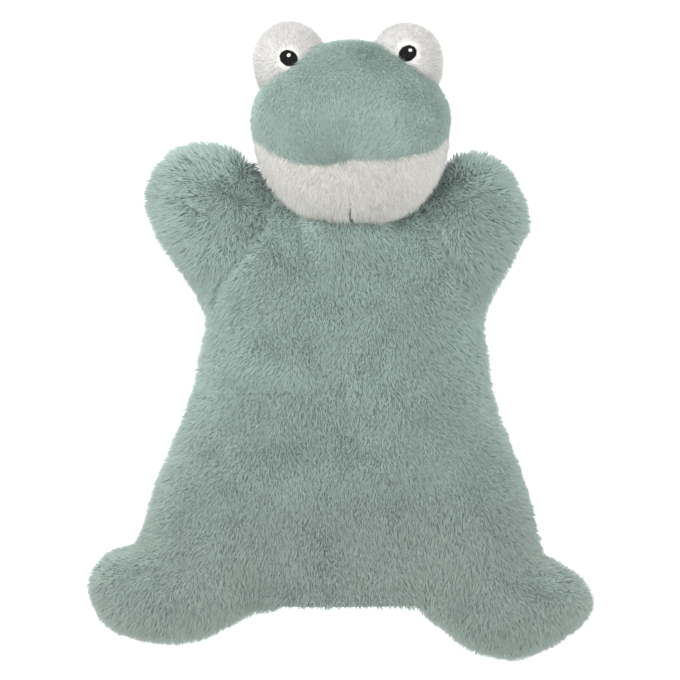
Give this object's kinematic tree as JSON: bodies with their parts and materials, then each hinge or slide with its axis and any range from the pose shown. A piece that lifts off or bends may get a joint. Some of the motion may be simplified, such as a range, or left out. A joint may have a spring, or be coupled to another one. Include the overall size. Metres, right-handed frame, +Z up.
{
  "type": "hand puppet",
  "caption": "Plush frog glove puppet with a stuffed head on a finger sleeve, two mitt arms, a skirt body open at the hem and flat stuffed feet.",
  "frame": {"origin": "middle of the hand opening, in the plane of the hem", "axes": "+Z up through the head, -Y the way the puppet faces, +X to the viewer's right"},
  "size_m": [0.2013, 0.0668, 0.2624],
  "materials": {
    "sage_plush": "short sage-green pile, brushed downwards",
    "white_plush": "short white pile",
    "knit_lining": "plain knitted lining cloth",
    "stuffing": "polyester fibre filling",
    "black_thread": "satin-stitched embroidery thread",
    "white_thread": "satin-stitched embroidery thread"
  },
  "bodies": {
    "skirt": {"skirt_front_panel": "sage_plush", "skirt_back_panel": "sage_plush", "skirt_front_lining": "knit_lining", "skirt_back_lining": "knit_lining", "hem_front_facing": "sage_plush", "hem_back_facing": "sage_plush", "waist_fold": "sage_plush", "hip_left_fold": "sage_plush", "hip_right_fold": "sage_plush"},
    "chest": {"chest_front_panel": "sage_plush", "chest_back_panel": "sage_plush", "chest_front_lining": "knit_lining", "chest_back_lining": "knit_lining", "neck_fold": "sage_plush", "shoulder_left_fold": "sage_plush", "shoulder_right_fold": "sage_plush"},
    "neck_turn": {"neck_seam_ring": "sage_plush"},
    "neck_tilt": {"finger_sleeve_hem": "knit_lining"},
    "head": {"face_panel": "sage_plush", "chin_left_panel": "white_plush", "chin_right_panel": "white_plush", "head_back_left_panel": "sage_plush", "head_back_right_panel": "sage_plush", "head_stuffing": "stuffing", "finger_sleeve": "knit_lining", "eye_left_cover": "white_plush", "eye_right_cover": "white_plush", "eye_left_stuffing": "stuffing", "eye_right_stuffing": "stuffing", "pupil_left": "black_thread", "pupil_right": "black_thread", "pupil_glint_left": "white_thread", "pupil_glint_right": "white_thread"},
    "arm_left": {"arm_left_front_panel": "sage_plush", "arm_left_back_panel": "sage_plush", "arm_left_finger_pocket": "knit_lining"},
    "foot_left": {"foot_left_front_panel": "sage_plush", "foot_left_back_panel": "sage_plush", "foot_left_stuffing": "stuffing"},
    "arm_right": {"arm_right_front_panel": "sage_plush", "arm_right_back_panel": "sage_plush", "arm_right_finger_pocket": "knit_lining"},
    "foot_right": {"foot_right_front_panel": "sage_plush", "foot_right_back_panel": "sage_plush", "foot_right_stuffing": "stuffing"}
  },
  "joints": [
    {"name": "waist_bow", "type": "hinge", "parent": "skirt", "child": "chest", "pos_m": [0, 0, 0.07], "axis": [1, 0, 0], "range_deg": [-15, 25], "stiffness_Nm_per_rad": 1.2, "deforming": ["waist_fold"]},
    {"name": "head_turn", "type": "hinge", "parent": "chest", "child": "neck_turn", "pos_m": [0.0025, 0, 0.16], "axis": [0, 0, 1], "range_deg": [-35, 35], "stiffness_Nm_per_rad": 0.08, "deforming": ["neck_fold"]},
    {"name": "head_tilt", "type": "hinge", "parent": "neck_turn", "child": "neck_tilt", "pos_m": [0.0025, 0, 0.164], "axis": [0, -1, 0], "range_deg": [-10, 10], "stiffness_Nm_per_rad": 0.25, "deforming": ["neck_fold"]},
    {"name": "head_nod", "type": "hinge", "parent": "neck_tilt", "child": "head", "pos_m": [0.0025, 0, 0.164], "axis": [1, 0, 0], "range_deg": [-18, 22], "stiffness_Nm_per_rad": 0.25, "deforming": ["neck_fold"]},
    {"name": "arm_left_swing", "type": "hinge", "parent": "chest", "child": "arm_left", "pos_m": [-0.058, 0, 0.125], "axis": [0.4822, 0, 0.876], "range_deg": [-20, 50], "stiffness_Nm_per_rad": 0.06, "deforming": ["shoulder_left_fold"]},
    {"name": "arm_right_swing", "type": "hinge", "parent": "chest", "child": "arm_right", "pos_m": [0.0605, 0, 0.1225], "axis": [0.4822, 0, -0.876], "range_deg": [-20, 50], "stiffness_Nm_per_rad": 0.06, "deforming": ["shoulder_right_fold"]},
    {"name": "foot_left_flap", "type": "hinge", "parent": "skirt", "child": "foot_left", "pos_m": [-0.086, 0, 0.024], "axis": [-0.7363, 0, 0.6766], "range_deg": [-40, 40], "stiffness_Nm_per_rad": 0.03, "deforming": ["hip_left_fold"]},
    {"name": "foot_right_flap", "type": "hinge", "parent": "skirt", "child": "foot_right", "pos_m": [0.083, 0, 0.024], "axis": [-0.7772, 0, -0.6292], "range_deg": [-40, 40], "stiffness_Nm_per_rad": 0.03, "deforming": ["hip_right_fold"]}
  ]
}
